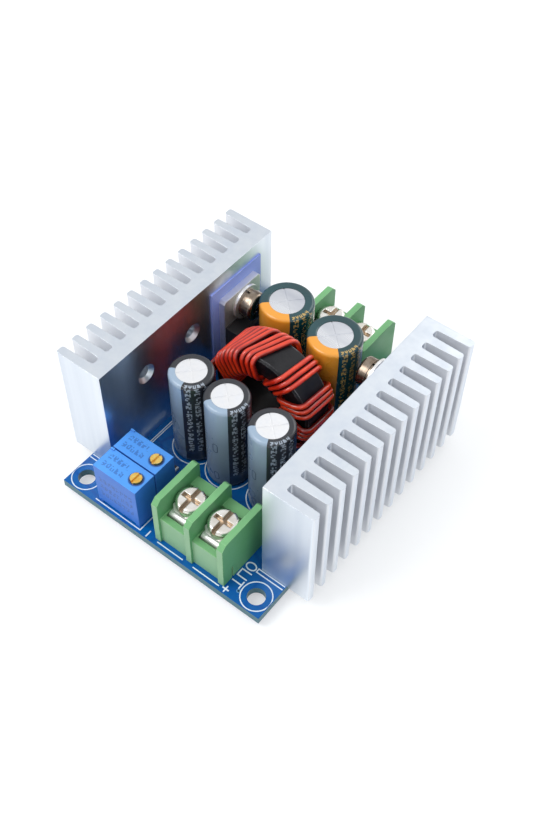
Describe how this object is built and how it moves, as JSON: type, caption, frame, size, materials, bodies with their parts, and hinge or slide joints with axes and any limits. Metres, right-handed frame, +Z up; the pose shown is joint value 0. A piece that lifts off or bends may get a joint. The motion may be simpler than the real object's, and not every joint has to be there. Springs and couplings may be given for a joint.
{
  "type": "buck converter module",
  "caption": "Step-down converter board between two finned heatsinks, with screw terminals at both ends, a wound ring inductor, capacitors and trimmers.",
  "frame": {"origin": "centre of the bounding box at the level of the heatsink pin tips it rests on", "axes": "+X across the board to the right-hand heatsink, +Y along the board from the output terminals to the input terminals, +Z up"},
  "size_m": [0.053, 0.06, 0.027],
  "materials": {
    "board_blue": "blue solder mask",
    "print_white": "white ink",
    "tinned": "bright tin",
    "fin_aluminium": "clean extruded aluminium",
    "sheet_violet": "satin silicone sheet",
    "case_black": "moulded black epoxy",
    "screw_nickel": "nickel plate",
    "bush_white": "moulded nylon",
    "core_black": "black coating on a pressed powder core",
    "wire_red": "red enamel on copper",
    "can_aluminium": "drawn aluminium",
    "sleeve_black": "shrunk black sleeve",
    "sleeve_teal": "shrunk dark teal sleeve",
    "bung_rubber": "moulded rubber",
    "trimmer_blue": "moulded blue plastic",
    "brass": "turned brass",
    "nylon": "moulded nylon",
    "ceramic": "white ceramic",
    "terminal_green": "moulded green plastic",
    "resistor_black": "glazed ceramic"
  },
  "bodies": {
    "module": {"board_tracks": "tinned", "capacitor_bungs": "bung_rubber", "capacitor_leads": "tinned", "chip_pins": "tinned", "chip_resistors": "resistor_black", "circuit_board": "board_blue", "control_chips": "case_black", "device_bolts": "screw_nickel", "device_bushes": "bush_white", "device_case_left": "case_black", "device_case_right": "case_black", "device_flat_washers": "screw_nickel", "device_legs": "tinned", "device_spring_washers": "screw_nickel", "device_tab_left": "tinned", "device_tab_right": "tinned", "heatsink_left": "fin_aluminium", "heatsink_pins": "tinned", "heatsink_right": "fin_aluminium", "inductor_core": "core_black", "input_capacitor_can_1": "can_aluminium", "input_capacitor_can_2": "can_aluminium", "input_capacitor_sleeve_1": "sleeve_teal", "input_capacitor_sleeve_2": "sleeve_teal", "input_contact_plates": "tinned", "input_terminal_housing": "terminal_green", "insulating_sheet_left": "sheet_violet", "insulating_sheet_right": "sheet_violet", "output_capacitor_can_1": "can_aluminium", "output_capacitor_can_2": "can_aluminium", "output_capacitor_can_3": "can_aluminium", "output_capacitor_sleeve_1": "sleeve_black", "output_capacitor_sleeve_2": "sleeve_black", "output_capacitor_sleeve_3": "sleeve_black", "output_contact_plates": "tinned", "output_terminal_housing": "terminal_green", "printed_legend": "print_white", "solder_joints": "tinned", "trimmer_element_1": "ceramic", "trimmer_element_2": "ceramic", "trimmer_housing_1": "trimmer_blue", "trimmer_housing_2": "trimmer_blue", "trimmer_pins": "tinned", "trimmer_seals": "ceramic", "winding_strand_1": "wire_red", "winding_strand_2": "wire_red", "winding_strand_3": "wire_red"},
    "output_clamp_1": {"output_clamp_1": "tinned"},
    "output_screw_1": {"output_screw_1": "screw_nickel"},
    "output_clamp_2": {"output_clamp_2": "tinned"},
    "output_screw_2": {"output_screw_2": "screw_nickel"},
    "input_clamp_1": {"input_clamp_1": "tinned"},
    "input_screw_1": {"input_screw_1": "screw_nickel"},
    "input_clamp_2": {"input_clamp_2": "tinned"},
    "input_screw_2": {"input_screw_2": "screw_nickel"},
    "trimmer_screw_1": {"trimmer_screw_1": "brass"},
    "trimmer_wheel_1": {"trimmer_wheel_1": "nylon"},
    "trimmer_screw_2": {"trimmer_screw_2": "brass"},
    "trimmer_wheel_2": {"trimmer_wheel_2": "nylon"}
  },
  "joints": [
    {"name": "output_clamp_1_lift", "type": "slide", "parent": "module", "child": "output_clamp_1", "axis": [0, 0, 1], "range_m": [0, 0.0018]},
    {"name": "output_screw_1_turn", "type": "hinge", "parent": "output_clamp_1", "child": "output_screw_1", "pos_m": [0.00285, -0.0237, 0.0104], "axis": [0, 0, 1], "range_deg": [0, 1296.5]},
    {"name": "output_clamp_2_lift", "type": "slide", "parent": "module", "child": "output_clamp_2", "axis": [0, 0, 1], "range_m": [0, 0.0018]},
    {"name": "output_screw_2_turn", "type": "hinge", "parent": "output_clamp_2", "child": "output_screw_2", "pos_m": [0.00975, -0.0237, 0.0104], "axis": [0, 0, 1], "range_deg": [0, 1296.5]},
    {"name": "input_clamp_1_lift", "type": "slide", "parent": "module", "child": "input_clamp_1", "axis": [0, 0, 1], "range_m": [0, 0.0018]},
    {"name": "input_screw_1_turn", "type": "hinge", "parent": "input_clamp_1", "child": "input_screw_1", "pos_m": [0.0033, 0.0242, 0.0104], "axis": [0, 0, 1], "range_deg": [0, 1296.5]},
    {"name": "input_clamp_2_lift", "type": "slide", "parent": "module", "child": "input_clamp_2", "axis": [0, 0, 1], "range_m": [0, 0.0018]},
    {"name": "input_screw_2_turn", "type": "hinge", "parent": "input_clamp_2", "child": "input_screw_2", "pos_m": [-0.0036, 0.0242, 0.0104], "axis": [0, 0, 1], "range_deg": [0, 1296.5]},
    {"name": "trimmer_screw_1_turn", "type": "hinge", "parent": "module", "child": "trimmer_screw_1", "pos_m": [-0.0066, -0.0266, 0.0127], "axis": [0, 0, 1], "range_deg": [-4495, 4495]},
    {"name": "trimmer_wheel_1_turn", "type": "hinge", "parent": "module", "child": "trimmer_wheel_1", "pos_m": [-0.01002, -0.0266, 0.0078], "axis": [0, 1, 0], "range_deg": [-145.2, 145.2]},
    {"name": "trimmer_screw_2_turn", "type": "hinge", "parent": "module", "child": "trimmer_screw_2", "pos_m": [-0.0066, -0.0216, 0.0127], "axis": [0, 0, 1], "range_deg": [-4495, 4495]},
    {"name": "trimmer_wheel_2_turn", "type": "hinge", "parent": "module", "child": "trimmer_wheel_2", "pos_m": [-0.01002, -0.0216, 0.0078], "axis": [0, 1, 0], "range_deg": [-145.2, 145.2]}
  ],
  "couplings": [
    {"joint": "output_screw_1_turn", "follows": "output_clamp_1_lift", "rad_per_m": 12566},
    {"joint": "output_screw_2_turn", "follows": "output_clamp_2_lift", "rad_per_m": 12566},
    {"joint": "input_screw_1_turn", "follows": "input_clamp_1_lift", "rad_per_m": 12566},
    {"joint": "input_screw_2_turn", "follows": "input_clamp_2_lift", "rad_per_m": 12566},
    {"joint": "trimmer_wheel_1_turn", "follows": "trimmer_screw_1_turn", "ratio": 0.032258},
    {"joint": "trimmer_wheel_2_turn", "follows": "trimmer_screw_2_turn", "ratio": 0.032258}
  ]
}
